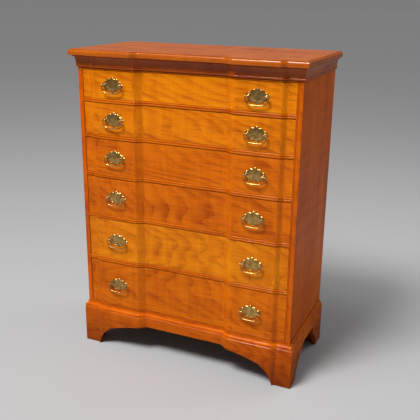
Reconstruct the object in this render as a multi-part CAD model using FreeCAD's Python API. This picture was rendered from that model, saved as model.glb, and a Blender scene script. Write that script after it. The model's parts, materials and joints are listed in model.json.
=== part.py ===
import FreeCAD, Part
import math
import os

# Block front chest of six graduated drawers, on bracket feet, with brass bail pulls.
# Millimetres, +Z up, front facing -Y. The origin is on the floor, under the middle of the
# chest's overall width and depth. Each piece of wood or brass is a solid of its own.

# ---- case: sides, heights and depth -------------------------------------------------
case_width = 960.0
case_depth = 462.0
case_bottom = 150.0             # lower edge of the case sides
side_thickness = 22.0
housing_depth = 8.0             # how far rails, runners and boards are let into the sides
first_opening = 211.0           # bottom of the lowest drawer opening
top_opening_height = 115.0      # the shallowest opening, under the top rail
opening_step = 17.0             # each opening is this much deeper than the one above
drawer_count = 6
divider_height = 18.0
divider_depth = 72.0
divider_proud = 2.0             # beaded rails stand this far in front of the drawers
bead_width = 4.0
top_rail_height = 55.0
rail_thickness = 24.0           # of the top and bottom rails, behind the plane of the stiles

# ---- the blocked front, in plan: two raised blocks and a hollowed centre -------------
block_inset = 170.0             # from the outside of the case to the middle of each block
block_flat = 180.0
block_rise = 12.0               # blocks in front of the plane of the stiles
hollow_depth = 8.0              # centre behind that plane
ogee_radius = 18.0              # of the two arcs in each curve between the levels
ogee_turn = 34.0                # degrees; the arcs meet in a straight slope at this angle

# ---- top ----------------------------------------------------------------------------
top_thickness = 24.0
top_side_overhang = 24.0
top_front_overhang = 34.0       # in front of the blocks
top_back_overhang = 6.0
top_edge_bevel = 7.0
cornice_height = 48.0
cornice_projection = 16.0
cornice_fascia = 5.0
cornice_bead = 8.0
cove_foot = 5.0                 # the cove starts this far out from the case
cove_bulge = 0.07               # depth of the cove, as a share of its chord
cleat_width = 28.0
cleat_height = 22.0

# ---- base and feet ------------------------------------------------------------------
foot_height = 127.0             # floor to the underside of the base moulding
base_moulding_top = 198.0
base_projection = 14.0
base_fascia = 45.0              # flat lower part of the base moulding
base_lip = 2.0                  # thickness left at the top of the moulding
base_hollow_bulge = -0.07       # depth of its hollow, as a share of the chord
foot_inset = 6.0                # brackets reach this far inside the face of the case
foot_width = 78.0               # of a bracket on the floor
cusp_position = 130.0           # from the outer corner to the step in the bracket's curve
cusp_height = 80.0
cusp_step = 6.0
front_bracket_length = 322.0
side_bracket_length = 196.0
rear_bracket_length = 150.0
rear_bracket_thickness = 18.0
glue_block_size = 42.0
glue_block_lift = 4.0           # glue blocks stop short of the floor

# ---- back and inner boards ----------------------------------------------------------
back_thickness = 12.0
back_rabbet = 10.0
back_board_count = 5
back_lap = 8.0
bottom_board_thickness = 18.0
runner_width = 40.0
dust_panel_thickness = 8.0
dust_groove = 6.0
dust_panel_end_gap = 12.0       # left at the back, for the wood to move
bottom_runner_height = 6.0
kicker_height = 18.0
stop_length = 40.0
stop_width = 12.0
stop_height = 6.0
stop_position = 250.0

# ---- drawers ------------------------------------------------------------------------
side_gap = 1.2                  # between a drawer and the case, each side
top_gap = 1.6
front_bottom_gap = 0.8
running_gap = 0.3               # between a drawer side and its runner
stop_gap = 0.3
front_thickness = 24.0          # behind the plane of the stiles
drawer_end_gap = 25.0           # between a closed drawer and the back of the case
drawer_side_thickness = 11.0
drawer_back_thickness = 11.0
side_top_drop = 4.0             # drawer sides stop this far below the top of the front
back_top_drop = 4.0
tail_lap = 7.0                  # wood left in front of the half-blind dovetails
tail_pitch = 62.0
tail_share = 0.58               # widest part of a tail, as a share of the pitch
tail_slope = 0.14
groove_rise = 12.0              # of the drawer bottom's groove above the lower edge
groove_depth = 5.0
bottom_edge_thickness = 5.0
bottom_thickness = 9.0
bottom_bevel = 24.0
bottom_end_gap = 0.3

# ---- brass pulls --------------------------------------------------------------------
post_spacing = 70.0
plate_half_width = 48.0
plate_half_height = 31.0
plate_crest = (22.0, 21.0)      # where the crest meets the hollow, from the plate's centre
plate_wing = (36.0, 14.0)       # where the hollow meets the wing
plate_bulges = (0.037, -0.037)  # of the crest and the hollow, as shares of their chords
plate_thickness = 1.6
shank_size = 3.6
shank_clearance = 0.4
nut_size = 10.0
nut_thickness = 4.0
post_length = 15.0              # in front of the plate
post_foot_radius = 4.0
head_radius = 5.5
pivot_height = 10.5             # of the bail's pivots above the plate
pivot_radius = 1.5
pivot_clearance = 0.08
bail_half_span = 45.5
bail_drop = 33.0
bail_radius = 2.7
bail_steps = 5
bail_squareness = 0.62          # under 1 gives fuller corners than an ellipse
bail_sides = 6
post_sides = 6

# ---- positions worked out from the sizes above --------------------------------------
half_case = case_width / 2
inner_half = half_case - side_thickness
block_centre = half_case - block_inset
block_reach = block_rise + top_front_overhang
face_y = (block_reach - case_depth - top_back_overhang) / 2
back_y = face_y + case_depth
back_inner_y = back_y - back_thickness
divider_back_y = face_y + divider_depth
rail_back_y = face_y + rail_thickness
block_inner = block_centre - block_flat / 2
block_outer = block_centre + block_flat / 2
openings_height = sum(top_opening_height + opening_step * i for i in range(drawer_count))
top_rail_bottom = first_opening + openings_height + divider_height * (drawer_count - 1)
case_top = top_rail_bottom + top_rail_height
top_back_y = back_y + top_back_overhang
bottom_board_top = first_opening - bottom_runner_height
runner_inner = inner_half + housing_depth - runner_width
drawer_half = inner_half - side_gap
drawer_inner_half = drawer_half - drawer_side_thickness
front_back_y = face_y + front_thickness
drawer_back_y = back_inner_y - drawer_end_gap
groove_end = drawer_inner_half + groove_depth
groove_y = front_back_y - groove_depth
saw_reach = max(cornice_projection, base_projection) + block_rise + hollow_depth + foot_inset
plate_back_y = face_y - block_rise
plate_front_y = plate_back_y - plate_thickness
pivot_y = plate_front_y - pivot_height


def opening_levels():
    """Bottom and top of each drawer opening, from the highest drawer down."""
    levels = []
    top = top_rail_bottom
    for i in range(drawer_count):
        bottom = top - top_opening_height - opening_step * i
        levels.append((bottom, top))
        top = bottom - divider_height
    return levels


# ---- shared shapes ------------------------------------------------------------------
def vec(x, y, z=0.0):
    return FreeCAD.Vector(x, y, z)


def box(x0, x1, y0, y1, z0, z1):
    """Box between two values on each axis."""
    low = vec(min(x0, x1), min(y0, y1), min(z0, z1))
    return Part.makeBox(abs(x1 - x0), abs(y1 - y0), abs(z1 - z0), low)


def closed(points):
    return Part.makePolygon(points + points[:1])


def prism(points, along):
    """Solid of a flat outline pushed along a vector."""
    return Part.Face(closed(points)).extrude(along)


def line(a, b):
    return Part.makeLine(a, b)


def arc(a, through, b):
    return Part.Arc(a, through, b).toShape()


def bulged_arc(a, b, bulge, normal):
    """Arc that stands off its chord by a share of the chord's length, square to the normal."""
    middle = (a + b) * 0.5 + (b - a).cross(normal) * bulge
    return arc(a, middle, b)


def mirrored_x(shape):
    return shape.mirror(vec(0, 0, 0), vec(1, 0, 0))


def export(name, solids):
    """One STEP file for a node, from one solid or a group of separate ones."""
    shape = solids if isinstance(solids, Part.Shape) else Part.makeCompound(solids)
    shape.exportStep("parts/" + name + ".step")


def ogee_width(height):
    """Width of the curve that joins two levels: an arc, a straight slope and an arc."""
    turn = math.radians(ogee_turn)
    slope_height = height - 2 * ogee_radius * (1 - math.cos(turn))
    return 2 * ogee_radius * math.sin(turn) + slope_height / math.tan(turn)


def ogee(x0, y0, x1, y1):
    """Curve in plan that leaves one level and meets another, both along X."""
    turn = math.radians(ogee_turn)
    way = vec(math.copysign(1.0, x1 - x0), math.copysign(1.0, y1 - y0))

    def along_arc(angle):
        run, rise = ogee_radius * math.sin(angle), ogee_radius * (1 - math.cos(angle))
        return vec(way.x * run, way.y * rise)

    start, end = vec(x0, y0), vec(x1, y1)
    first = arc(start, start + along_arc(turn / 2), start + along_arc(turn))
    last = arc(end - along_arc(turn), end - along_arc(turn / 2), end)
    return [first, line(start + along_arc(turn), end - along_arc(turn)), last]


def blocked_edges(half_width, y):
    """The blocked front in plan, left to right, with its stiles at the level y."""
    block_y = y - block_rise
    hollow_y = y + hollow_depth
    stile = block_outer + ogee_width(block_rise)
    hollow = block_inner - ogee_width(block_rise + hollow_depth)
    edges = [line(vec(-half_width, y), vec(-stile, y))]
    edges += ogee(-stile, y, -block_outer, block_y)
    edges.append(line(vec(-block_outer, block_y), vec(-block_inner, block_y)))
    edges += ogee(-block_inner, block_y, -hollow, hollow_y)
    edges.append(line(vec(-hollow, hollow_y), vec(hollow, hollow_y)))
    edges += ogee(hollow, hollow_y, block_inner, block_y)
    edges.append(line(vec(block_inner, block_y), vec(block_outer, block_y)))
    edges += ogee(block_outer, block_y, stile, y)
    edges.append(line(vec(stile, y), vec(half_width, y)))
    return edges


def blocked_board(half_width, front, back, bottom, top):
    """Board with a blocked front edge and a straight back, between two heights."""
    edges = blocked_edges(half_width, front)
    edges.append(line(vec(half_width, front), vec(half_width, back)))
    edges.append(line(vec(half_width, back), vec(-half_width, back)))
    edges.append(line(vec(-half_width, back), vec(-half_width, front)))
    board = Part.Face(Part.Wire(edges)).extrude(vec(0, 0, top - bottom))
    board.translate(vec(0, 0, bottom))
    return board


def around_case(section):
    """Sweep a section of (outwards, height) edges round the left side, front and right side."""
    start = vec(-half_case, back_y)
    edges = [line(start, vec(-half_case, face_y))]
    edges += blocked_edges(half_case, face_y)
    edges.append(line(vec(half_case, face_y), vec(half_case, back_y)))
    path = Part.Wire(edges)
    mitred = 1
    return path.makePipeShell([section], True, False, mitred)


def section_point(outwards, z):
    """A point of a moulding's section, at the back end of the left side."""
    return vec(-half_case - outwards, back_y, z)


def front_zone():
    """Everything in front of the two mitre planes at the case's front corners."""
    points = [
        vec(-half_case - saw_reach, face_y - saw_reach),
        vec(half_case + saw_reach, face_y - saw_reach),
        vec(half_case - saw_reach, face_y + saw_reach),
        vec(-half_case + saw_reach, face_y + saw_reach),
    ]
    return prism(points, vec(0, 0, case_top))


def mitred_lengths(ring):
    """Cut a moulding that runs round the case into its front and two side lengths."""
    zone = front_zone()
    return ring.common(zone).Solids + ring.cut(zone).Solids


# ---- case ---------------------------------------------------------------------------
def case_side():
    """Right side: housings for the inner boards, a rabbet for the back and a front bead."""
    side = box(inner_half, half_case, face_y, back_y, case_bottom, case_top)
    housed = inner_half + housing_depth
    for bottom, _ in opening_levels()[:-1]:
        low = bottom - divider_height
        side = side.cut(box(inner_half, housed, face_y, back_inner_y, low, bottom))
    low = bottom_board_top - bottom_board_thickness
    side = side.cut(box(inner_half, housed, rail_back_y, back_inner_y, low, bottom_board_top))
    rabbet = inner_half + back_rabbet
    side = side.cut(box(inner_half, rabbet, back_inner_y, back_y, case_bottom, case_top))
    bead_end = inner_half + bead_width
    bead_y = face_y - divider_proud
    side = side.fuse(box(inner_half, bead_end, bead_y, face_y, first_opening, top_rail_bottom))
    return side.removeSplitter()


def divider(top):
    """Blocked rail between two drawers, housed in the sides, grooved for the dust panel."""
    low = top - divider_height
    housed = inner_half + housing_depth
    rail = blocked_board(inner_half, face_y - divider_proud, divider_back_y, low, top)
    rail = rail.fuse(box(inner_half, housed, face_y, divider_back_y, low, top))
    rail = rail.fuse(box(-inner_half, -housed, face_y, divider_back_y, low, top))
    rail = rail.removeSplitter()
    return rail.cut(dust_panel(top))


def dust_panel(top):
    """Thin board in the grooves of the divider and the runners."""
    low = top - (divider_height + dust_panel_thickness) / 2
    half_width = runner_inner + dust_groove
    front = divider_back_y - dust_groove
    back = back_inner_y - dust_panel_end_gap
    return box(-half_width, half_width, front, back, low, low + dust_panel_thickness)


def runner(top):
    """Right runner, housed in the side behind the divider."""
    housed = inner_half + housing_depth
    strip = box(runner_inner, housed, divider_back_y, back_inner_y, top - divider_height, top)
    return strip.cut(dust_panel(top))


def bottom_runner():
    return box(runner_inner, inner_half, rail_back_y, back_inner_y, bottom_board_top, first_opening)


def kicker():
    """Right strip that stops the top drawer from tipping as it is drawn out."""
    high = top_rail_bottom + kicker_height
    return box(runner_inner, inner_half, rail_back_y, back_inner_y, top_rail_bottom, high)


def drawer_stop(base, top):
    """Right stop, which meets the back of a closed drawer's front."""
    front = front_back_y + stop_gap
    left = stop_position - stop_length / 2
    return box(left, left + stop_length, front, front + stop_width, base, top + stop_height)


def top_rail():
    return blocked_board(inner_half, face_y, rail_back_y, top_rail_bottom, case_top)


def bottom_rail():
    return blocked_board(inner_half, face_y, rail_back_y, case_bottom, first_opening)


def bottom_board():
    housed = inner_half + housing_depth
    low = bottom_board_top - bottom_board_thickness
    return box(-housed, housed, rail_back_y, back_inner_y, low, bottom_board_top)


def back_board(low, high, lap_below, lap_above):
    """Board across the back; its lower edge laps over the upper edge of the one below."""
    middle = back_y - back_thickness / 2
    half_width = inner_half + back_rabbet
    outline = [
        vec(-half_width, back_inner_y, low),
        vec(-half_width, middle, low),
        vec(-half_width, middle, low + lap_below),
        vec(-half_width, back_y, low + lap_below),
        vec(-half_width, back_y, high + lap_above),
        vec(-half_width, middle, high + lap_above),
        vec(-half_width, middle, high),
        vec(-half_width, back_inner_y, high),
    ]
    corners = [p for i, p in enumerate(outline) if i == 0 or (p - outline[i - 1]).Length > 0]
    return prism(corners, vec(2 * half_width, 0, 0))


def back_boards():
    step = (case_top - case_bottom) / back_board_count
    boards = []
    for i in range(back_board_count):
        low = case_bottom + step * i
        below = back_lap if i > 0 else 0.0
        above = back_lap if i < back_board_count - 1 else 0.0
        boards.append(back_board(low, low + step, below, above))
    return boards


# ---- top ----------------------------------------------------------------------------
def top_board():
    """Blocked top with its front and side edges bevelled above."""
    half_width = half_case + top_side_overhang
    high = case_top + top_thickness
    front = face_y - top_front_overhang
    board = blocked_board(half_width, front, top_back_y, case_top, high)
    moulded = []
    for edge in board.Edges:
        on_top = edge.BoundBox.ZMin > case_top + top_thickness / 2
        if on_top and edge.BoundBox.Center.y < back_y:
            moulded.append(edge)
    return board.makeChamfer(top_edge_bevel, moulded)


def top_cleat():
    """Right cleat, through which the top is screwed from below."""
    low = case_top - cleat_height
    return box(inner_half - cleat_width, inner_half, rail_back_y, back_inner_y, low, case_top)


def cornice():
    """Cove moulding under the top, with a fascia above it and a flat bead below it."""
    high = case_top
    low = high - cornice_height
    fascia = high - cornice_fascia
    cove_low = low + cornice_bead
    corners = [
        (cove_foot, cove_low),
        (cove_foot, low),
        (0, low),
        (0, high),
        (cornice_projection, high),
        (cornice_projection, fascia),
    ]
    points = [section_point(outwards, z) for outwards, z in corners]
    edges = [line(a, b) for a, b in zip(points, points[1:])]
    edges.append(bulged_arc(points[-1], points[0], cove_bulge, vec(0, 1, 0)))
    return mitred_lengths(around_case(Part.Wire(edges)))


# ---- base and feet ------------------------------------------------------------------
def base_moulding():
    """Flat fascia with a hollow above it, mitred at the front corners."""
    fascia_top = foot_height + base_fascia
    corners = [
        (base_lip, base_moulding_top),
        (0, base_moulding_top),
        (0, foot_height),
        (base_projection, foot_height),
        (base_projection, fascia_top),
    ]
    points = [section_point(outwards, z) for outwards, z in corners]
    edges = [line(a, b) for a, b in zip(points, points[1:])]
    edges.append(bulged_arc(points[-1], points[0], base_hollow_bulge, vec(0, 1, 0)))
    return mitred_lengths(around_case(Part.Wire(edges)))


def foot_stock():
    """The front and side lengths that the bracket feet are sawn from."""
    corners = [
        section_point(-foot_inset, 0),
        section_point(base_projection, 0),
        section_point(base_projection, foot_height),
        section_point(-foot_inset, foot_height),
    ]
    return around_case(closed(corners))


def bracket_outline(length, place):
    """Elevation of a bracket foot: a long hollow curve, a step, and a short hollow leg."""
    cusp_top = cusp_height + cusp_step
    outer_low, outer_high = place(0, 0), place(0, foot_height)
    tip, cusp = place(length, foot_height), place(cusp_position, cusp_top)
    rise = foot_height - cusp_top
    long_middle = place(cusp_position + (length - cusp_position) * 0.5, cusp_top + rise * 0.66)
    step, toe = place(cusp_position, cusp_height), place(foot_width, 0)
    leg_middle = place(foot_width + (cusp_position - foot_width) * 0.36, cusp_height * 0.64)
    edges = [
        line(outer_low, outer_high),
        line(outer_high, tip),
        arc(tip, long_middle, cusp),
        line(cusp, step),
        arc(step, leg_middle, toe),
        line(toe, outer_low),
    ]
    return Part.Face(Part.Wire(edges))


def front_left_foot(stock):
    """Blocked front bracket, side bracket and the glue block behind them."""
    corner_x, corner_y = -half_case - base_projection, face_y - base_projection
    saw_x, saw_y = corner_x - saw_reach, corner_y - saw_reach
    across = bracket_outline(front_bracket_length, lambda s, z: vec(corner_x + s, saw_y, z))
    along = bracket_outline(side_bracket_length, lambda s, z: vec(saw_x, corner_y + s, z))
    zone = front_zone()
    front = stock.common(zone).common(across.extrude(vec(0, 2 * saw_reach, 0)))
    side = stock.cut(zone).common(along.extrude(vec(2 * saw_reach, 0, 0)))
    inside = -half_case + foot_inset
    block_y = face_y + foot_inset
    block = box(
        inside, inside + glue_block_size, block_y, block_y + glue_block_size, glue_block_lift, case_bottom
    )
    return front.Solids + side.Solids + [block]


def rear_left_foot(stock):
    """Side bracket, plain back bracket and the glue block in their corner."""
    saw_x = -half_case - base_projection - saw_reach
    along = bracket_outline(rear_bracket_length, lambda s, z: vec(saw_x, back_y - s, z))
    side = stock.common(along.extrude(vec(2 * saw_reach, 0, 0)))
    inside = -half_case + foot_inset
    board_y = back_y - rear_bracket_thickness
    outline = [
        vec(inside, board_y, 0),
        vec(inside, board_y, case_bottom),
        vec(inside + rear_bracket_length, board_y, case_bottom),
        vec(inside + foot_width, board_y, 0),
    ]
    board = prism(outline, vec(0, rear_bracket_thickness, 0))
    block_y = board_y - glue_block_size
    block = box(inside, inside + glue_block_size, block_y, board_y, glue_block_lift, case_bottom)
    return side.Solids + [board, block]


# ---- drawers ------------------------------------------------------------------------
def tails(root_y, tip_y, low, high):
    """Dovetails of the right drawer side, from their narrow roots to their wide tips."""
    count = max(2, round((high - low) / tail_pitch))
    pitch = (high - low) / count
    wide = pitch * tail_share / 2
    narrow = wide - abs(tip_y - root_y) * tail_slope
    found = []
    for i in range(count):
        z = low + pitch * (i + 0.5)
        outline = [
            vec(drawer_inner_half, root_y, z - narrow),
            vec(drawer_inner_half, root_y, z + narrow),
            vec(drawer_inner_half, tip_y, z + wide),
            vec(drawer_inner_half, tip_y, z - wide),
        ]
        found.append(prism(outline, vec(drawer_side_thickness, 0, 0)))
    return found


def both_sides(shapes):
    return shapes + [mirrored_x(s) for s in shapes]


def drawer_levels(bottom, top):
    """Heights of one drawer's pieces, from the opening that it fills."""
    side_low = bottom + running_gap
    side_high = top - top_gap - side_top_drop
    groove_low = side_low + groove_rise
    return side_low, side_high, groove_low, groove_low + bottom_edge_thickness


def front_tails(bottom, top):
    side_low, side_high, _, _ = drawer_levels(bottom, top)
    tip_y = face_y + tail_lap
    return tails(front_back_y, tip_y, side_low, side_high)


def back_tails(bottom, top):
    _, side_high, _, groove_high = drawer_levels(bottom, top)
    root_y = drawer_back_y - drawer_back_thickness
    return tails(root_y, drawer_back_y, groove_high, side_high - back_top_drop)


def drawer_front(bottom, top):
    """Blocked front with sockets for the sides, a groove for the bottom and four post holes."""
    _, _, groove_low, groove_high = drawer_levels(bottom, top)
    board = blocked_board(drawer_half, face_y, front_back_y, bottom + front_bottom_gap, top - top_gap)
    cuts = both_sides(front_tails(bottom, top))
    cuts.append(box(-groove_end, groove_end, groove_y, front_back_y, groove_low, groove_high))
    hole = shank_size / 2 + shank_clearance
    z = (bottom + top) / 2
    for x in post_places():
        cuts.append(box(x - hole, x + hole, plate_back_y, front_back_y, z - hole, z + hole))
    return board.cut(Part.makeCompound(cuts))


def drawer_side(bottom, top):
    """Right side, with tails at both ends and a groove for the bottom."""
    side_low, side_high, groove_low, groove_high = drawer_levels(bottom, top)
    back_inside = drawer_back_y - drawer_back_thickness
    side = box(drawer_inner_half, drawer_half, front_back_y, back_inside, side_low, side_high)
    tail = box(drawer_inner_half, drawer_half, back_inside, drawer_back_y, side_low, groove_high)
    side = side.fuse([tail] + front_tails(bottom, top) + back_tails(bottom, top))
    groove = box(drawer_inner_half, groove_end, groove_y, drawer_back_y, groove_low, groove_high)
    return side.removeSplitter().cut(groove)


def drawer_back(bottom, top):
    """Back board that sits on the drawer bottom, with pins between the tails of the sides."""
    _, side_high, _, groove_high = drawer_levels(bottom, top)
    front = drawer_back_y - drawer_back_thickness
    board = box(-drawer_half, drawer_half, front, drawer_back_y, groove_high, side_high - back_top_drop)
    return board.cut(Part.makeCompound(both_sides(back_tails(bottom, top))))


def drawer_bottom(bottom, top):
    """Board thinned underneath at three edges to fit the grooves, with a bevel inside them."""
    _, _, groove_low, groove_high = drawer_levels(bottom, top)
    half_width = groove_end - bottom_end_gap
    front = groove_y + bottom_end_gap
    low = groove_high - bottom_thickness
    board = box(-half_width, half_width, front, drawer_back_y, low, groove_high)
    side_bevel = [
        vec(half_width, front, low),
        vec(half_width, front, groove_low),
        vec(half_width - groove_depth, front, groove_low),
        vec(half_width - bottom_bevel, front, low),
    ]
    front_bevel = [
        vec(-half_width, front, low),
        vec(-half_width, front, groove_low),
        vec(-half_width, front + groove_depth, groove_low),
        vec(-half_width, front + bottom_bevel, low),
    ]
    cuts = both_sides([prism(side_bevel, vec(0, drawer_back_y - front, 0))])
    cuts.append(prism(front_bevel, vec(2 * half_width, 0, 0)))
    for cutter in cuts:
        board = board.cut(cutter)
    return board


# ---- brass pulls --------------------------------------------------------------------
def pull_centres():
    return [-block_centre, block_centre]


def post_places():
    return [c + side * post_spacing / 2 for c in pull_centres() for side in (-1, 1)]


def back_plate(x, z):
    """Shaped plate: a crest above and below, a hollow, and a wing at each end."""
    places = [(0, plate_half_height), plate_crest, plate_wing, (plate_half_width, 0)]
    points = [vec(px, plate_back_y, pz) for px, pz in places]
    normal = vec(0, -1, 0)
    spans = zip(points, points[1:], plate_bulges)
    quarter = [bulged_arc(a, b, bulge, normal) for a, b, bulge in spans]
    quarter.append(line(points[-2], points[-1]))
    edges = both_sides(quarter)
    edges += [e.mirror(vec(0, 0, 0), vec(0, 0, 1)) for e in edges]
    outline = Part.Wire(Part.__sortEdges__(edges))
    plate = Part.Face(outline).extrude(vec(0, -plate_thickness, 0))
    plate.translate(vec(x, 0, z))
    hole = shank_size / 2 + shank_clearance
    for side in (-1, 1):
        px = x + side * post_spacing / 2
        plate = plate.cut(box(px - hole, px + hole, plate_front_y, plate_back_y, z - hole, z + hole))
    return plate


def ring(centre, radius, sides, u, v):
    """Corners of a regular outline of cast brass, about a centre, in the plane of u and v."""
    points = []
    for i in range(sides):
        turn = 2 * math.pi * (i + 0.5) / sides
        points.append(centre + u * (radius * math.cos(turn)) + v * (radius * math.sin(turn)))
    return points


def tapered(start, end):
    """Solid with flat sides between two rings that have as many corners."""
    outlines = [start, end]
    for i in range(len(start)):
        outlines.append([start[i - 1], start[i], end[i], end[i - 1]])
    return Part.Solid(Part.Shell([Part.Face(closed(points)) for points in outlines]))


def rod(centre, radius, sides, along):
    """Straight rod of cast brass, whose section is square to the vector along."""
    up = vec(0, 0, 1)
    return prism(ring(centre, radius, sides, along.cross(up).normalize(), up), along)


def post(x, z):
    """Shank through the drawer front, and a flared head bored for the end of the bail."""
    across, up = vec(1, 0, 0), vec(0, 0, 1)
    foot = ring(vec(x, plate_front_y, z), post_foot_radius, post_sides, across, up)
    head = ring(vec(x, plate_front_y - post_length, z), head_radius, post_sides, across, up)
    half = shank_size / 2
    shank = box(x - half, x + half, plate_front_y, front_back_y, z - half, z + half)
    bore_radius = (pivot_radius + pivot_clearance) / math.cos(math.pi / post_sides)
    start = vec(x - 2 * head_radius, pivot_y, z)
    bore = rod(start, bore_radius, post_sides, vec(4 * head_radius, 0, 0))
    return tapered(foot, head).fuse(shank).cut(bore)


def nut(x, z):
    """Square cap nut on the end of a shank."""
    half = nut_size / 2
    high = front_back_y + nut_thickness
    return box(x - half, x + half, front_back_y, high, z - half, z + half)


def pull_hardware(z):
    pieces = [back_plate(x, z) for x in pull_centres()]
    pieces += [post(x, z) for x in post_places()]
    pieces += [nut(x, z) for x in post_places()]
    return pieces


def bail_point(share):
    """Centre line of the bail, hanging, from one eye to the other as share goes from 0 to 1."""
    turn = math.pi * share
    across, down = math.cos(turn), math.sin(turn)
    x = math.copysign(abs(across) ** bail_squareness, across) * bail_half_span
    return vec(x, pivot_y, -bail_drop * down ** bail_squareness)


def bail(x, z):
    """Hanging handle with a pivot at each end that turns in a post's head."""
    points = [vec(bail_half_span, pivot_y, bail_radius)]
    points += [bail_point(i / bail_steps) for i in range(bail_steps + 1)]
    points.append(vec(-bail_half_span, pivot_y, bail_radius))
    section = ring(points[0], bail_radius, bail_sides, vec(0, -1, 0), vec(1, 0, 0))
    mitred = 1
    handle = Part.makePolygon(points).makePipeShell([closed(section)], True, False, mitred)
    inner_end = post_spacing / 2 - head_radius / 2
    for side in (-1, 1):
        along = vec(side * (bail_half_span - inner_end), 0, 0)
        pivot = rod(vec(side * inner_end, pivot_y, 0), pivot_radius, bail_sides, along)
        handle = handle.fuse(pivot)
    handle.translate(vec(x, 0, z))
    return handle


# ---- nodes --------------------------------------------------------------------------
def export_case():
    side = case_side()
    dividers = [bottom for bottom, _ in opening_levels()[:-1]]
    export("case_side_right", side)
    export("case_side_left", mirrored_x(side))
    export("top_board", top_board())
    export("cornice_moulding", cornice())
    export("top_rail", top_rail())
    export("bottom_rail", bottom_rail())
    export("bottom_board", bottom_board())
    export("back_boards", back_boards())
    export("top_cleats", both_sides([top_cleat()]))
    for i, top in enumerate(dividers):
        export("divider_" + str(i + 1), divider(top))
    export("dust_panels", [dust_panel(top) for top in dividers])
    strips = [runner(top) for top in dividers] + [bottom_runner(), kicker()]
    export("drawer_runners", both_sides(strips))
    stops = [drawer_stop(top, top) for top in dividers]
    stops.append(drawer_stop(bottom_board_top, first_opening))
    export("drawer_stops", both_sides(stops))


def export_base():
    export("base_moulding", base_moulding())
    stock = foot_stock()
    front, rear = front_left_foot(stock), rear_left_foot(stock)
    export("foot_front_left", front)
    export("foot_front_right", [mirrored_x(s) for s in front])
    export("foot_rear_left", rear)
    export("foot_rear_right", [mirrored_x(s) for s in rear])


def export_drawer(number, bottom, top):
    name = "drawer_" + str(number)
    side = drawer_side(bottom, top)
    centre_z = (bottom + top) / 2
    export(name + "_front", drawer_front(bottom, top))
    export(name + "_sides_and_back", [side, mirrored_x(side), drawer_back(bottom, top)])
    export(name + "_bottom", drawer_bottom(bottom, top))
    export(name + "_pull_hardware", pull_hardware(centre_z))
    export(name + "_bail_left", bail(-block_centre, centre_z))
    export(name + "_bail_right", bail(block_centre, centre_z))


os.makedirs("parts", exist_ok=True)
export_case()
export_base()
for index, (low_edge, high_edge) in enumerate(opening_levels()):
    export_drawer(index + 1, low_edge, high_edge)
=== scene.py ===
import json
import math

import bmesh
import bpy
from mathutils import Matrix, Vector


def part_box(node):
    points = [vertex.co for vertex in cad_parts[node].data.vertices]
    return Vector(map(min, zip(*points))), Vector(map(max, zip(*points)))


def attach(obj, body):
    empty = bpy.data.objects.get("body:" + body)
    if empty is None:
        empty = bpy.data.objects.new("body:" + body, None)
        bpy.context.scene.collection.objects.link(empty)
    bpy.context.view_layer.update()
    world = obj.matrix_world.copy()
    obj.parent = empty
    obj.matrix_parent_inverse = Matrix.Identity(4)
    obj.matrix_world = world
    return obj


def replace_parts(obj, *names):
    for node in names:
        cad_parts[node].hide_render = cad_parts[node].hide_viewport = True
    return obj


# Block front chest of drawers: finishes, mouldings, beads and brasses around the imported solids.
# Metres, in the same frame as the solids: +Z up, the front faces -Y.

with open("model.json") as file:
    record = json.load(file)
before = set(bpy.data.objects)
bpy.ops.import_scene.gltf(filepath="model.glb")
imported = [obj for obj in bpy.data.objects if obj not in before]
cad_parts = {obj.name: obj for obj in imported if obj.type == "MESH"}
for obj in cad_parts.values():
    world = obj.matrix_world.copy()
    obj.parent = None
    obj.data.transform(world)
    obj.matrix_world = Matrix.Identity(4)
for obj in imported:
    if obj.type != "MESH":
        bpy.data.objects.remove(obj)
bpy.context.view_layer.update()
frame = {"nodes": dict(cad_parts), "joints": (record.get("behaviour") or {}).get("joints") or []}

# ---- sizes taken from the solids -----------------------------------------------------
side_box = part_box("case_side_right")
top_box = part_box("top_board")
cornice_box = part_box("cornice_moulding")
base_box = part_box("base_moulding")
front_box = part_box("drawer_1_front")
DRAWERS = sum(joint["name"].endswith("_slide") for joint in frame["joints"])
HALF_CASE = side_box[1].x
INNER_HALF = side_box[0].x
BACK_Y = side_box[1].y
BLOCK_Y = front_box[0].y

# ---- the blocked front, in plan, at the sizes of the solids --------------------------
BLOCK_CENTRE = 0.310
BLOCK_FLAT = 0.180
BLOCK_RISE = 0.012
HOLLOW_DEPTH = 0.008
OGEE_RADIUS = 0.018
OGEE_TURN = math.radians(34)
OGEE_STEPS = 7
# The drawer faces beside the blocks, and how far the sides and rails stand forward of them.
FACE_Y = BLOCK_Y + BLOCK_RISE
PROUD = FACE_Y - side_box[0].y

# ---- edges ---------------------------------------------------------------------------
EASED_EDGE = 0.0009
SHARP_ANGLE = math.radians(36)
FLAT_ANGLE = math.radians(0.4)
JOINT_ANGLE = math.radians(30)
SAME_POINT = 1e-6
BEAD_STEPS = 8

# ---- pulls ---------------------------------------------------------------------------
POST_SPACING = 0.070
PLATE_THICKNESS = 0.0016
PLATE_Y = BLOCK_Y - PLATE_THICKNESS
BAIL_HALF_SPAN = 0.0455
BAIL_DROP = 0.033


# ---- meshes --------------------------------------------------------------------------
def add_object(name, mesh, body, materials):
    """Link a mesh as a piece that rides on a body."""
    piece = bpy.data.objects.new(name, mesh)
    bpy.context.scene.collection.objects.link(piece)
    for material in materials:
        mesh.materials.append(material)
    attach(piece, body)
    return piece


def smooth(piece):
    """Smooth shading that keeps flats flat and true corners sharp."""
    mesh = piece.data
    mesh.polygons.foreach_set("use_smooth", [True] * len(mesh.polygons))
    mesh.set_sharp_from_angle(angle=SHARP_ANGLE)
    weighted = piece.modifiers.new("weighted", "WEIGHTED_NORMAL")
    weighted.keep_sharp = True


def new_mesh(name, points, faces):
    mesh = bpy.data.meshes.new(name)
    mesh.from_pydata([tuple(p) for p in points], [], faces)
    mesh.update()
    return mesh


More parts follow.
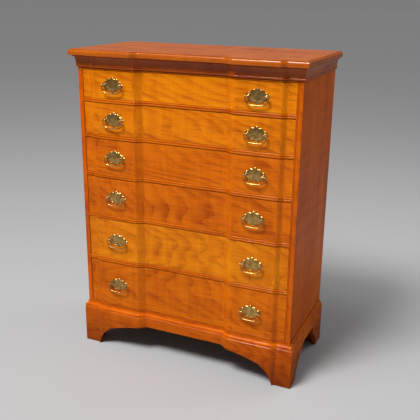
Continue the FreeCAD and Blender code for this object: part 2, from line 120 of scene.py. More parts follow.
class Stock:
    """Points, faces and grain of several boards that become one mesh."""

    def __init__(self):
        self.points, self.faces, self.grain, self.tone = [], [], [], []

    def add(self, points, faces, grain, tone):
        start = len(self.points)
        self.points += [Vector(p) for p in points]
        self.faces += [[start + i for i in face] for face in faces]
        self.grain += grain
        self.tone += [tone] * len(points)

    def piece(self, name, body, slot, materials):
        mesh = new_mesh(name, self.points, self.faces)
        write_grain(mesh, self.grain, self.tone)
        piece = add_object(name, mesh, body, materials)
        smooth(piece)
        return piece


def write_grain(mesh, grain, tone):
    """Store where each point lies in its board: along the grain, and two ways across it."""
    grain_layer = mesh.attributes.new("grain", "FLOAT_VECTOR", "POINT")
    grain_layer.data.foreach_set("vector", [value for place in grain for value in place])
    tone_layer = mesh.attributes.new("tone", "FLOAT", "POINT")
    tone_layer.data.foreach_set("value", tone)


def board_grain(point, way, shift):
    """A point's place in a board whose grain runs along X, Y or Z."""
    x, y, z = point
    along, across, deep = {"x": (x, z, y), "y": (y, z, x), "z": (z, x, y)}[way]
    return (along + shift[0], across + shift[1], deep + shift[2])


def tree_shift(seed, depth=0.11):
    """Which part of a tree a board comes from: a start along the trunk, and the pith's place."""
    return (1.37 * seed, 0.060 * math.sin(2.4 * seed), depth + 0.03 * math.sin(1.7 * seed))


# ---- the solids, with eased edges ----------------------------------------------------
def split_solids(mesh):
    """The triangles of each closed solid of a node, found where no edge is left open."""
    key = [tuple(round(c / SAME_POINT) for c in vertex.co) for vertex in mesh.vertices]
    solids, current, open_edges = [], [], set()
    for polygon in mesh.polygons:
        corners = list(polygon.vertices)
        current.append(corners)
        for a, b in zip(corners, corners[1:] + corners[:1]):
            open_edges ^= {frozenset((key[a], key[b]))}
        if not open_edges:
            solids.append(current)
            current = []
    return solids


def eased_solid(mesh, triangles, width):
    """One solid as clean faces, with its corners eased by a width."""
    build = bmesh.new()
    made = {}
    for triangle in triangles:
        for i in triangle:
            if i not in made:
                made[i] = build.verts.new(mesh.vertices[i].co)
        build.faces.new([made[i] for i in triangle])
    bmesh.ops.remove_doubles(build, verts=build.verts, dist=SAME_POINT)
    bmesh.ops.recalc_face_normals(build, faces=build.faces)
    bmesh.ops.dissolve_limit(
        build, angle_limit=FLAT_ANGLE, verts=build.verts, edges=build.edges, use_dissolve_boundaries=False
    )
    corners = [e for e in build.edges if e.is_manifold and e.calc_face_angle() > JOINT_ANGLE]
    bmesh.ops.bevel(
        build, geom=corners, offset=width, segments=2, profile=0.6, affect="EDGES", clamp_overlap=True
    )
    bmesh.ops.triangulate(build, faces=[f for f in build.faces if len(f.verts) > 4])
    build.verts.index_update()
    points = [v.co.copy() for v in build.verts]
    faces = [[v.index for v in f.verts] for f in build.faces]
    build.free()
    return points, faces


def longest_way(points):
    spans = [max(p[i] for p in points) - min(p[i] for p in points) for i in range(3)]
    return "xyz"[spans.index(max(spans))]


def dressed(node, body, slot, material, tone=0.0, width=EASED_EDGE, seed=1.0, way=None, spread=0.08):
    """Stand-in for a node: each of its solids with eased edges and its own piece of timber."""
    stock = Stock()
    mesh = frame["nodes"][node].data
    for i, triangles in enumerate(split_solids(mesh)):
        points, faces = eased_solid(mesh, triangles, width)
        shift = tree_shift(seed + 2.3 * i)
        along = way or longest_way(points)
        grain = [board_grain(p, along, shift) for p in points]
        stock.add(points, faces, grain, tone + spread * math.sin(3.1 * (seed + i)))
    piece = stock.piece(node + "_wood", body, slot, [material])
    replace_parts(piece, node)
    return piece


# ---- blocked outlines ----------------------------------------------------------------
def ogee_width(height):
    """Width of the curve, two arcs joined by a slope, that climbs a height."""
    slope_height = height - 2 * OGEE_RADIUS * (1 - math.cos(OGEE_TURN))
    return 2 * OGEE_RADIUS * math.sin(OGEE_TURN) + slope_height / math.tan(OGEE_TURN)


def ogee(x0, y0, x1, y1):
    """Points and outward normals of the curve between two levels of the front."""
    right, back = math.copysign(1, x1 - x0), math.copysign(1, y1 - y0)
    path = []
    up = range(OGEE_STEPS + 1)
    for x, y, way, steps in ((x0, y0, 1, up), (x1, y1, -1, reversed(up))):
        for i in steps:
            turn = OGEE_TURN * i / OGEE_STEPS
            run, rise = OGEE_RADIUS * math.sin(turn), OGEE_RADIUS * (1 - math.cos(turn))
            normal = Vector((right * back * math.sin(turn), -math.cos(turn)))
            path.append((Vector((x + way * right * run, y + way * back * rise)), normal))
    return path


def blocked_path(half_width, y):
    """The blocked front in plan, left to right, as points with outward normals."""
    forward = Vector((0, -1))
    block_y, hollow_y = y - BLOCK_RISE, y + HOLLOW_DEPTH
    inner, outer = BLOCK_CENTRE - BLOCK_FLAT / 2, BLOCK_CENTRE + BLOCK_FLAT / 2
    stile = outer + ogee_width(BLOCK_RISE)
    hollow = inner - ogee_width(BLOCK_RISE + HOLLOW_DEPTH)
    path = [(Vector((-half_width, y)), forward)]
    path += ogee(-stile, y, -outer, block_y)
    path += ogee(-inner, block_y, -hollow, hollow_y)
    path += ogee(hollow, hollow_y, inner, block_y)
    path += ogee(outer, block_y, stile, y)
    path.append((Vector((half_width, y)), forward))
    return path


def around_path(half_width, front, back):
    """The left side, front and right side in plan, with mitred normals at the corners."""
    path = [(Vector((-half_width, back)), Vector((-1, 0)))]
    path.append((Vector((-half_width, front)), Vector((-1, -1))))
    path += blocked_path(half_width, front)[1:-1]
    path.append((Vector((half_width, front)), Vector((1, -1))))
    path.append((Vector((half_width, back)), Vector((1, 0))))
    return path


def ring_faces(rings):
    """Faces between successive rings of as many points, and over the two ends."""
    count = len(rings[0])
    faces = []
    for k in range(len(rings) - 1):
        for i in range(count):
            j = (i + 1) % count
            faces.append([k * count + i, k * count + j, (k + 1) * count + j, (k + 1) * count + i])
    faces.append(list(range(count))[::-1])
    faces.append([(len(rings) - 1) * count + i for i in range(count)])
    return faces


def ring_mesh(rings):
    """The points of successive rings, and the faces between and over them."""
    return [p for ring in rings for p in ring], ring_faces(rings)


def slab(stock, path, fixed, rows, way, seed, tone):
    """Flat board whose moulded edge follows a path: rows give its inset at each height."""
    rings = []
    for inset, z in rows:
        ring = [Vector((*(p - n * inset), z)) for p, n in path]
        ring += [Vector((x, y, z)) for x, y in fixed]
        rings.append(ring)
    points, faces = ring_mesh(rings)
    shift = tree_shift(seed)
    grain = [board_grain(p, way, shift) for p in points]
    stock.add(points, faces, grain, tone)


def moulding(stock, path, section, seed, tone):
    """Length of moulding: a section of (outwards, height) points run along a path."""
    rings = [[Vector((*(p + n * out), z)) for out, z in section] for p, n in path]
    run, travelled = [0.0], 0.0
    for (a, _), (b, _) in zip(path, path[1:]):
        travelled += (b - a).length
        run.append(travelled)
    shift = tree_shift(seed)
    grain = []
    for distance in run:
        grain += [(distance + shift[0], z + shift[1], out + shift[2]) for out, z in section]
    stock.add(*ring_mesh(rings), grain, tone)


def curve_rows(start, end, steps, hollow=False):
    """Quarter of an ellipse between two (outwards, height) points, round or hollow."""
    rows = []
    for i in range(steps + 1):
        turn = math.pi / 2 * i / steps
        rise, run = math.sin(turn), 1 - math.cos(turn)
        if hollow:
            rise, run = run, rise
        rows.append((start[0] + (end[0] - start[0]) * run, start[1] + (end[1] - start[1]) * rise))
    return rows


def half_round(start, width):
    """Steps over a half-round bead, as (swell from 0 to 1, height) pairs."""
    turns = [math.pi * i / BEAD_STEPS for i in range(BEAD_STEPS + 1)]
    return [(math.sin(turn), start + width * (1 - math.cos(turn)) / 2) for turn in turns]


# ---- top, rails and mouldings --------------------------------------------------------
def thumbnail_rows(low, high):
    """Edge of the top: eased below, rounded over, with a small step under the flat."""
    thickness = high - low
    step_inset, step_drop, ease = 0.0072, 0.0026, 0.0016
    rows = [(ease, low), (ease * 0.3, low + ease * 0.3), (0.0, low + ease)]
    rows += curve_rows((0.0, low + thickness * 0.42), (step_inset - 0.0006, high - step_drop), 9)
    rows += [(step_inset, high - step_drop), (step_inset, high - 0.0004), (step_inset + 0.0004, high)]
    return rows


def make_top(material):
    half_width = top_box[1].x
    front = top_box[0].y + BLOCK_RISE
    path = around_path(half_width, front, top_box[1].y)
    stock = Stock()
    rows = thumbnail_rows(top_box[0].z, top_box[1].z)
    slab(stock, path, [], rows, way="x", seed=3.0, tone=0.3)
    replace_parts(stock.piece("top_board_wood", "carcass", "show_wood", [material]), "top_board")


def double_bead_rows(low, high):
    """Front edge of a rail between drawers: two half-round beads with a quirk between them."""
    bead, quirk_depth = (high - low) * 0.40, PROUD * 0.9
    quirk = (high - low - 2 * bead) / 3
    rows = [(quirk_depth, low)]
    for start in (low + quirk, low + 2 * quirk + bead):
        rows += [(quirk_depth * (1 - swell), z) for swell, z in half_round(start, bead)]
    rows.append((quirk_depth, high))
    return rows


def make_divider(number, material):
    low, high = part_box("divider_" + str(number))
    path = blocked_path(INNER_HALF, FACE_Y - PROUD)
    housed = high.x
    fixed = [(INNER_HALF, FACE_Y), (housed, FACE_Y), (housed, high.y)]
    fixed += [(-housed, high.y), (-housed, FACE_Y), (-INNER_HALF, FACE_Y)]
    stock = Stock()
    slab(stock, path, fixed, double_bead_rows(low.z, high.z), way="x", seed=5.0 + number, tone=0.75)
    piece = stock.piece("divider_" + str(number) + "_wood", "carcass", "show_wood", [material])
    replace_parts(piece, "divider_" + str(number))


def rail_rows(low, high, bead_at_top):
    """Plain rail with one half-round bead at the edge of the drawer opening."""
    bead = 0.0045
    base = high - bead if bead_at_top else low
    rows = [(PROUD * (1 - swell), z) for swell, z in half_round(base, bead)]
    return [(PROUD, low)] + rows if bead_at_top else rows + [(PROUD, high)]


def make_rail(node, material, bead_at_top, seed):
    low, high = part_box(node)
    path = blocked_path(INNER_HALF, FACE_Y - PROUD)
    fixed = [(INNER_HALF, high.y), (-INNER_HALF, high.y)]
    stock = Stock()
    slab(stock, path, fixed, rail_rows(low.z, high.z, bead_at_top), way="x", seed=seed, tone=0.78)
    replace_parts(stock.piece(node + "_wood", "carcass", "show_wood", [material]), node)


def cornice_section(low, high, projection):
    """Astragal, fillet, deep cove and fascia, from the case outwards."""
    bead_high, bead_root, bead_depth = low + 0.008, 0.0035, 0.0066
    fascia, fillet, cove_root = high - 0.005, 0.0018, 0.0052
    section = [(0.0, high), (0.0, low)]
    for swell, z in half_round(low, bead_high - low):
        section.append((bead_root + (bead_depth - bead_root) * swell, z))
    section.append((cove_root, bead_high))
    section += curve_rows((cove_root, bead_high + 0.0015), (projection - fillet, fascia), 10)
    section += [(projection, fascia), (projection, high)]
    return section


def base_section(low, high, projection):
    """Flat fascia with an eased foot, and an ogee above it that dies into the case."""
    fascia_top, ease = high - 0.026, 0.001
    waist = (projection * 0.52, high - 0.0125)
    section = [(0.0, high), (0.0, low), (projection - ease, low), (projection, low + ease)]
    section += [(projection, fascia_top - ease), (projection - ease, fascia_top)]
    shoulder, lip = (projection - 0.0016, fascia_top + 0.0004), 0.0026
    section += curve_rows(shoulder, waist, 7)
    section += curve_rows(waist, (lip, high - 0.002), 7, hollow=True)[1:]
    section.append((lip, high))
    return section


def make_moulding(node, material, box, section_for, seed, tone):
    """Three mitred lengths: left side, front and right side."""
    low, high = box
    section = section_for(low.z, high.z, high.x - HALF_CASE)
    path = around_path(HALF_CASE, FACE_Y, BACK_Y)
    stock = Stock()
    for i, length in enumerate((path[:2], path[1:-1], path[-2:])):
        moulding(stock, length, section, seed + i, tone - 0.1 * i)
    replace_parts(stock.piece(node + "_wood", "carcass", "show_wood", [material]), node)


# ---- brass ---------------------------------------------------------------------------
def arc_points(a, b, bulge, steps):
    """Points of an arc from a to just before b that stands off its chord by a share of it."""
    if abs(bulge) < 1e-4:
        return [a + (b - a) * (i / steps) for i in range(steps)]
    chord = b - a
    half_turn = 2 * math.atan(2 * bulge)
    radius = chord.length / (2 * math.sin(half_turn))
    side = Vector((-chord.y, chord.x)).normalized()
    centre = (a + b) / 2 - side * radius * math.cos(half_turn)
    spoke = a - centre
    points = []
    for i in range(steps):
        turn = -2 * half_turn * i / steps
        rotated = (
            spoke.x * math.cos(turn) - spoke.y * math.sin(turn),
            spoke.x * math.sin(turn) + spoke.y * math.cos(turn),
        )
        points.append(centre + Vector(rotated))
    return points


def plate_outline():
    """Back plate: a crest above and below, hollowed shoulders and a wing at each end."""
    corners = [(0, 31), (5.5, 28), (16, 25), (27, 18.5), (35, 14), (41.5, 7.5), (46, 3.5), (48, 0)]
    bulges = [0.16, -0.20, 0.17, -0.22, 0.17, -0.18, 0.20]
    steps = 5
    quarter = []
    for (a, b), bulge in zip(zip(corners, corners[1:]), bulges):
        quarter += arc_points(Vector(a) / 1000, Vector(b) / 1000, bulge, steps)
    lower = [Vector((p.x, -p.y)) for p in quarter[1:]][::-1]
    right = quarter + [Vector(corners[-1]) / 1000] + lower
    foot = [Vector((0, -corners[0][1] / 1000))]
    left = [Vector((-p.x, p.y)) for p in right][::-1]
    return right + foot + left[:-1]


def inset_outline(outline, distance):
    """The outline moved inwards by a distance."""
    moved = []
    for i, point in enumerate(outline):
        before = (point - outline[i - 1]).normalized()
        after = (outline[(i + 1) % len(outline)] - point).normalized()
        inward = Vector((before.y + after.y, -before.x - after.x)).normalized()
        stretch = max(0.5, math.sqrt(max(0.0, (1 + before.dot(after)) / 2)))
        moved.append(point + inward * distance / stretch)
    return moved


def shrunk_outline(outline, distance):
    """The outline drawn in towards its centre, so that its four tips move by a distance."""
    wide = 1 - distance / max(p.x for p in outline)
    tall = 1 - distance / max(p.y for p in outline)
    return [Vector((p.x * wide, p.y * tall)) for p in outline]


def plate_mesh(centre_x, centre_z):
    """Slightly domed plate with a bevelled edge and a line engraved inside it."""
    outline = plate_outline()
    front, back = PLATE_Y, BLOCK_Y
    bevelled = inset_outline(outline, 0.0011)
    flats = [(outline, back), (outline, back - 0.0006), (bevelled, front)]
    for inset, depth in ((0.0044, 0.0), (0.0049, 0.0005), (0.0054, 0.0)):
        flats.append((shrunk_outline(outline, inset), front + depth))
    for inset, crown in ((0.010, 0.0005), (0.016, 0.0008), (0.022, 0.0010), (0.028, 0.0011)):
        flats.append((shrunk_outline(outline, inset), front - crown))
    rings = [[Vector((centre_x + p.x, y, centre_z + p.y)) for p in ring] for ring, y in flats]
    return ring_mesh(rings)


def turned(profile, centre, axis_sign, sides):
    """Solid of revolution about a line along Y, from (radius, distance) pairs."""
    rings = []
    for radius, distance in profile:
        ring = []
        for i in range(sides):
            turn = 2 * math.pi * i / sides
            across, up = radius * math.cos(turn), radius * math.sin(turn)
            ring.append(centre + Vector((across, axis_sign * distance, up)))
        rings.append(ring)
    return ring_mesh(rings)


def post_profile():
    """Turned post: a stepped foot, a waisted neck and a ball that holds the bail."""
    profile = [(0.0062, 0.0), (0.0062, 0.0007), (0.0055, 0.0012), (0.0042, 0.0016)]
    profile += [(0.0034, 0.0026), (0.0029, 0.0040), (0.0031, 0.0052), (0.0042, 0.0060)]
    ball, middle = 0.0048, 0.0101
    for i in range(1, 10):
        turn = math.radians(-62 + i * 15.2)
        profile.append((ball * math.cos(turn), middle + ball * math.sin(turn)))
    profile.append((0.0004, middle + ball))
    return profile


def nut_mesh(centre):
    """Square nut with chamfered corners."""
    half, thickness, chamfer = 0.005, 0.004, 0.0008
    rings = []
    for size, distance in ((half, 0.0), (half, thickness - chamfer), (half - chamfer, thickness)):
        corners = ((-size, -size), (size, -size), (size, size), (-size, size))
        rings.append([centre + Vector((x, distance, z)) for x, z in corners])
    return ring_mesh(rings)


class Metalwork:
    """Points and faces of several metal parts that become one mesh."""

    def __init__(self):
        self.points, self.faces = [], []

    def add(self, points, faces):
        start = len(self.points)
        self.points += points
        self.faces += [[start + i for i in face] for face in faces]

    def piece(self, name, body, material, slot="brass"):
        mesh = new_mesh(name, self.points, self.faces)
        build = bmesh.new()
        build.from_mesh(mesh)
        bmesh.ops.recalc_face_normals(build, faces=build.faces)
        build.to_mesh(mesh)
        build.free()
        piece = add_object(name, mesh, body, [material])
        smooth(piece)
        return piece


def make_hardware(number, material):
    drawer = "drawer_" + str(number)
    low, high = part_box(drawer + "_pull_hardware")
    pull_z = (low.z + high.z) / 2
    brass = Metalwork()
    for side in (-1, 1):
        brass.add(*plate_mesh(side * BLOCK_CENTRE, pull_z))
        for end in (-1, 1):
            x = side * BLOCK_CENTRE + end * POST_SPACING / 2
            brass.add(*turned(post_profile(), Vector((x, PLATE_Y, pull_z)), -1, 20))
            brass.add(*nut_mesh(Vector((x, front_box[1].y, pull_z))))
    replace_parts(brass.piece(drawer + "_brasses", drawer, material), drawer + "_pull_hardware")


def bail_line(steps):
    """Centre line of a hanging bail, from one eye to the other, as (across, down) points."""
    squareness = 0.62
    line = []
    for i in range(steps + 1):
        turn = math.pi * i / steps
        across = math.copysign(abs(math.cos(turn)) ** squareness, math.cos(turn))
        line.append(Vector((across * BAIL_HALF_SPAN, -BAIL_DROP * math.sin(turn) ** squareness)))
    return line


def bail_radius(share):
    """Thin at the eyes, swelling to a stout middle that has a collar at each end."""
    swell = math.sin(math.pi * share) ** 1.5
    collar = sum(math.exp(-(((share - place) / 0.011) ** 2)) for place in (0.36, 0.64))
    return 0.0019 + 0.0006 * swell + 0.0005 * collar


def resampled(line, steps):
    """Points evenly spaced along a line."""
    lengths = [0.0]
    for a, b in zip(line, line[1:]):
        lengths.append(lengths[-1] + (b - a).length)
    points, k = [], 0
    for i in range(steps + 1):
        wanted = lengths[-1] * i / steps
        while k < len(lengths) - 2 and lengths[k + 1] < wanted:
            k += 1
        share = (wanted - lengths[k]) / max(lengths[k + 1] - lengths[k], 1e-9)
        points.append(line[k] + (line[k + 1] - line[k]) * share)
    return points


def bail_mesh(pivot, sides=12, steps=64):
    """Swept rod whose thickness changes along it."""
    line = resampled(bail_line(400), steps)
    rings = []
    for i, point in enumerate(line):
        before, after = line[max(0, i - 1)], line[min(steps, i + 1)]
        along = (after - before).normalized()
        side = Vector((-along.y, along.x))
        radius = bail_radius(i / steps)
        ring = []
        for k in range(sides):
            turn = 2 * math.pi * k / sides
            offset = side * radius * math.cos(turn)
            depth = radius * math.sin(turn)
            ring.append(pivot + Vector((point.x + offset.x, depth, point.y + offset.y)))
        rings.append(ring)
    return ring_mesh(rings)


def pin_mesh(pivot, side, sides=12):
    """Eye of the bail with the pin that turns in the post."""
    eye, pin = 0.0029, 0.0015
    eye_x, pin_end = BAIL_HALF_SPAN, POST_SPACING / 2 - 0.003
    profile = [(0.0005, eye_x + eye)]
    for i in range(1, 8):
        turn = math.radians(90 - i * 20)
        profile.append((eye * math.cos(turn), eye_x + eye * math.sin(turn)))
    profile += [(pin, eye_x - eye), (pin, pin_end)]
    rings = []
    for radius, x in profile:
        ring = []
        for k in range(sides):
            turn = 2 * math.pi * k / sides
            ring.append(pivot + Vector((side * x, radius * math.cos(turn), radius * math.sin(turn))))
        rings.append(ring)
    return ring_mesh(rings)


def make_bail(joint, material):
    body = joint["child"]
    pivot = Vector(joint["pos_m"])
    brass = Metalwork()
    brass.add(*bail_mesh(pivot))
    for side in (-1, 1):
        brass.add(*pin_mesh(pivot, side))
    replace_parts(brass.piece(body + "_brass", body, material), body)


# ---- materials -----------------------------------------------------------------------
TRUNK_WANDER = 0.045
TRUNK_TILT = 0.045
RING_STRENGTH = 0.29
FIBRE_STRENGTH = 0.62
BLOTCH_STRENGTH = 0.55
# Wood darker towards the bottom: the height where it is darkest, where it ends, how ragged its edge is
# and how dark it gets.
LOW_DARK_FOOT = 0.01
LOW_DARK_TOP = 0.21
LOW_DARK_RAGGED = 0.05
LOW_DARK_DARKEST = 0.42


class Nodes:
    """Short names for building a shader."""

    def __init__(self, owner):
        owner.use_nodes = True
        self.owner = owner
        self.tree = owner.node_tree
        self.shader = self.tree.nodes.get("Principled BSDF")

    def put(self, kind, inputs=None, **settings):
        node = self.tree.nodes.new("ShaderNode" + kind)
        for key, value in settings.items():
            setattr(node, key, value)
        for key, value in (inputs or {}).items():
            self.join(value, node.inputs[key])
        return node

    def join(self, value, socket):
        if isinstance(value, bpy.types.NodeSocket):
            self.tree.links.new(value, socket)
        else:
            socket.default_value = value

    def math(self, operation, a, b=0.0, c=0.0):
        return self.put("Math", {0: a, 1: b, 2: c}, operation=operation).outputs[0]

    def scaled(self, vector, factors):
        """A vector with each of its parts multiplied by its own factor."""
        return self.put("VectorMath", {0: vector, 1: factors}, operation="MULTIPLY").outputs[0]

    def noise(self, vector, detail=2.0, roughness=0.55, distortion=0.0):
        inputs = {"Vector": vector, "Scale": 1.0, "Detail": detail}
        inputs.update({"Roughness": roughness, "Distortion": distortion})
        return self.put("TexNoise", inputs).outputs["Fac"]

    def ramp(self, factor, stops):
        """Colours, or greys given as single numbers, at places from 0 to 1."""
        node = self.put("ValToRGB", {"Fac": factor})
        elements = node.color_ramp.elements
        while len(elements) < len(stops):
            elements.new(0.5)
        for element, (place, colour) in zip(elements, stops):
            element.position = place
            element.color = (*(colour if isinstance(colour, tuple) else (colour,) * 3), 1.0)
        return node.outputs["Color"]

    def mix(self, factor, a, b, blend="MIX"):
        node = self.put("Mix", data_type="RGBA", blend_type=blend)
        self.join(factor, node.inputs["Factor"])
        for value, socket in zip((a, b), node.inputs[6:8]):
            self.join((*value, 1.0) if isinstance(value, tuple) else value, socket)
        return node.outputs[2]


def wood_figure(n, ring_width, curl_strength):
    """Growth rings, fibres and curl in a board's own directions: darkness and fine fibre."""
    grain = n.put("Attribute", attribute_name="grain").outputs["Vector"]
    drift = {"Vector": n.scaled(grain, (1.1, 5.0, 5.0)), "Scale": 1.0, "Detail": 1.5}
    wander = n.put("TexNoise", drift).outputs["Color"]
    centred = n.put("VectorMath", {0: wander, 1: (0.5, 0.5, 0.5)}, operation="SUBTRACT").outputs[0]
    shift = n.scaled(centred, (0.0, TRUNK_WANDER, TRUNK_WANDER))
    place = n.put("VectorMath", {0: grain, 1: shift}, operation="ADD").outputs[0]
    along, across, deep = n.put("SeparateXYZ", {0: place}).outputs
    tilted = n.math("MULTIPLY_ADD", along, TRUNK_TILT, deep)
    squares = n.math("ADD", n.math("MULTIPLY", across, across), n.math("MULTIPLY", tilted, tilted))
    ring = n.math("FRACT", n.math("DIVIDE", n.math("SQRT", squares), ring_width))
    late_wood = n.ramp(ring, [(0.0, 0.25), (0.35, 0.12), (0.82, 0.75), (0.94, 1.0), (1.0, 0.3)])
    year = n.noise(n.scaled(place, (0.8, 55.0, 55.0)), 1.0)
    late_wood = n.math("MULTIPLY", late_wood, n.ramp(year, [(0.3, 0.25), (0.7, 1.0)]))
    fibre = n.noise(n.scaled(place, (9.0, 360.0, 360.0)), 4.0, 0.62)
    blotch = n.noise(n.scaled(place, (2.6, 11.0, 11.0)), 2.0)
    curl = n.noise(n.scaled(place, (30.0, 4.0, 4.0)), 1.0, distortion=0.6)
    darkness = n.math("MULTIPLY", late_wood, RING_STRENGTH)
    darkness = n.math("MULTIPLY_ADD", fibre, FIBRE_STRENGTH, darkness)
    darkness = n.math("MULTIPLY_ADD", blotch, BLOTCH_STRENGTH, darkness)
    darkness = n.math("MULTIPLY_ADD", curl, curl_strength, darkness)
    return grain, darkness, fibre


def darkening_near_floor(n):
    """Wood darker towards the bottom, fading out above the feet, with a ragged, uneven edge."""
    place = n.put("TexCoord").outputs["Object"]
    ragged_noise = n.noise(n.scaled(place, (14.0, 14.0, 9.0)), 3.0)
    height = n.put("SeparateXYZ", {0: place}).outputs[2]
    ragged = n.math("MULTIPLY_ADD", ragged_noise, LOW_DARK_RAGGED, height)
    return n.ramp(ragged, [(LOW_DARK_FOOT, LOW_DARK_DARKEST), (LOW_DARK_TOP, 1.0)])


def wood(name, light, middle, dark, deep_tint, ring_width, roughness, gloss, curl_strength):
    """Timber that reads its grain and tone from the mesh; painted shade darkens its corners."""
    n = Nodes(bpy.data.materials.new(name))
    grain, darkness, fibre = wood_figure(n, ring_width, curl_strength)
    level = n.put("MapRange", {"Value": darkness, "From Min": 0.42, "From Max": 1.08}).outputs[0]
    colour = n.ramp(level, [(0.0, light), (0.48, middle), (1.0, dark)])
    tone = n.put("Attribute", attribute_name="tone").outputs["Fac"]
    colour = n.mix(tone, colour, n.mix(1.0, colour, deep_tint, "MULTIPLY"))
    fleck = n.noise(n.scaled(grain, (45.0, 900.0, 900.0)), 2.0, 0.6)
    fleck = n.ramp(fleck, [(0.60, 1.0), (0.74, 0.72)])
    colour = n.mix(1.0, colour, fleck, "MULTIPLY")
    # Painted shade: the colour is darkened in corners, gaps and quirks near other parts, by ambient
    # occlusion.
    corner = n.put("AmbientOcclusion", {"Distance": 0.012}, samples=8, only_local=False)
    corner_shade = n.ramp(corner.outputs["AO"], [(0.30, 0.34), (0.85, 1.0)])
    colour = n.mix(1.0, colour, corner_shade, "MULTIPLY")
    # Darker towards the bottom, just above the floor.
    colour = n.mix(1.0, colour, darkening_near_floor(n), "MULTIPLY")
    n.join(colour, n.shader.inputs["Base Color"])
    rough = n.put("MapRange", {"Value": fibre, "To Min": roughness - 0.07, "To Max": roughness + 0.09})
    n.join(rough.outputs[0], n.shader.inputs["Roughness"])
    pores = n.noise(n.scaled(grain, (70.0, 2400.0, 2400.0)), 2.0, 0.5)
    height = n.math("MULTIPLY_ADD", pores, 0.5, fibre)
    bump = n.put("Bump", {"Height": height, "Strength": 0.18, "Distance": 0.0003})
    n.join(bump.outputs[0], n.shader.inputs["Normal"])
    n.shader.inputs["Specular IOR Level"].default_value = 0.0
    n.shader.inputs["Coat Weight"].default_value = gloss
    n.shader.inputs["Coat Roughness"].default_value = 0.13
    return n.owner


def aged_brass():
    """Old cast brass: rubbed bright where it stands out, brown in its corners."""
    n = Nodes(bpy.data.materials.new("aged_brass"))
    place = n.put("TexCoord").outputs["Object"]
    cloud = n.noise(n.scaled(place, (70.0, 70.0, 70.0)), 3.0, 0.6)
    speck = n.noise(n.scaled(place, (900.0, 900.0, 900.0)), 2.0, 0.6)
    stops = [(0.28, (0.26, 0.138, 0.040)), (0.50, (0.47, 0.266, 0.076)), (0.72, (0.72, 0.450, 0.150))]
    colour = n.ramp(cloud, stops)
    corner = n.put("AmbientOcclusion", {"Distance": 0.004}, samples=8, only_local=True)
    rubbed = n.ramp(corner.outputs["AO"], [(0.45, 0.0), (0.95, 1.0)])
    colour = n.mix(rubbed, (0.060, 0.034, 0.018), colour)
    colour = n.mix(n.ramp(speck, [(0.58, 0.0), (0.75, 0.45)]), colour, (0.10, 0.062, 0.032))
    n.join(colour, n.shader.inputs["Base Color"])
    n.shader.inputs["Metallic"].default_value = 1.0
    rough = n.put("MapRange", {"Value": cloud, "To Min": 0.40, "To Max": 0.16})
    n.join(rough.outputs[0], n.shader.inputs["Roughness"])
    height = n.math("MULTIPLY_ADD", speck, 0.4, cloud)
    bump = n.put("Bump", {"Height": height, "Strength": 0.10, "Distance": 0.0004})
    n.join(bump.outputs[0], n.shader.inputs["Normal"])
    return n.owner


def iron():
    """Rusty wrought iron of the nail heads."""
    n = Nodes(bpy.data.materials.new("old_iron"))
    place = n.put("TexCoord").outputs["Object"]
    rust = n.noise(n.scaled(place, (900.0, 900.0, 900.0)), 3.0, 0.6)
    colour = n.ramp(rust, [(0.35, (0.030, 0.026, 0.024)), (0.70, (0.110, 0.055, 0.030))])
    n.join(colour, n.shader.inputs["Base Color"])
    n.shader.inputs["Metallic"].default_value = 0.6
    n.shader.inputs["Roughness"].default_value = 0.62
    bump = n.put("Bump", {"Height": rust, "Strength": 0.4, "Distance": 0.0005})
    n.join(bump.outputs[0], n.shader.inputs["Normal"])
    return n.owner


# ---- nails ---------------------------------------------------------------------------
def make_nails(material):
    """Two wrought nails through each end of every back board."""
    low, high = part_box("back_boards")
    boards, from_edge = 5, 0.006
    step = (high.z - low.z) / boards
    profile = [(0.0034, 0.0), (0.0034, 0.0003), (0.0024, 0.0009), (0.0004, 0.0012)]
    nails = Metalwork()
    for side in (-1, 1):
        for i in range(boards):
            for share in (0.28, 0.74):
                place = Vector((side * (high.x - from_edge), high.y, low.z + step * (i + share)))
                nails.add(*turned(profile, place, 1, 9))
    nails.piece("back_nails", "carcass", material, slot=None)


# ---- the whole chest -----------------------------------------------------------------
# How deep the colour of each drawer front is, from 0 to 1, top drawer first.
DRAWER_TONES = (0.16, 0.36, 0.74, 0.70, 0.0, 0.62)


def make_case(show, polished_shaded, inner, underside):
    """The carcass: every board that doesn't move."""
    make_top(polished_shaded)
    make_rail("top_rail", show, bead_at_top=False, seed=21.0)
    make_rail("bottom_rail", show, bead_at_top=True, seed=23.0)
    for number in range(1, DRAWERS):
        make_divider(number, show)
    # Painted shade: the cornice's deep tone darkens it as if in the shade under the top.
    make_moulding("cornice_moulding", polished_shaded, cornice_box, cornice_section, seed=31.0, tone=0.85)
    make_moulding("base_moulding", show, base_box, base_section, seed=41.0, tone=1.0)
    dressed("case_side_left", "carcass", "show_wood", show, tone=0.92, seed=51.0)
    dressed("case_side_right", "carcass", "show_wood", show, tone=0.95, seed=54.0)
    feet = ("foot_front_left", "foot_front_right", "foot_rear_left", "foot_rear_right")
    for i, node in enumerate(feet):
        dressed(node, "carcass", "show_wood", show, tone=0.95, seed=60.0 + 3 * i)
    rough_boards = {"width": 0.0018, "spread": 0.35}
    dressed(
        "back_boards", "carcass", "secondary_wood", inner, tone=0.35, seed=76.0, way="x", **rough_boards
    )
    # The bottom board takes the very dark wood, painted shade under the chest.
    dressed("bottom_board", "carcass", "secondary_wood", underside, tone=0.35, seed=84.0, way="x")
    for i, node in enumerate(("top_cleats", "dust_panels")):
        dressed(node, "carcass", "secondary_wood", inner, tone=0.35, seed=88.0 + 4 * i, way="x")
    for i, node in enumerate(("drawer_runners", "drawer_stops")):
        dressed(node, "carcass", "secondary_wood", inner, tone=0.6, seed=110.0 + 5 * i)


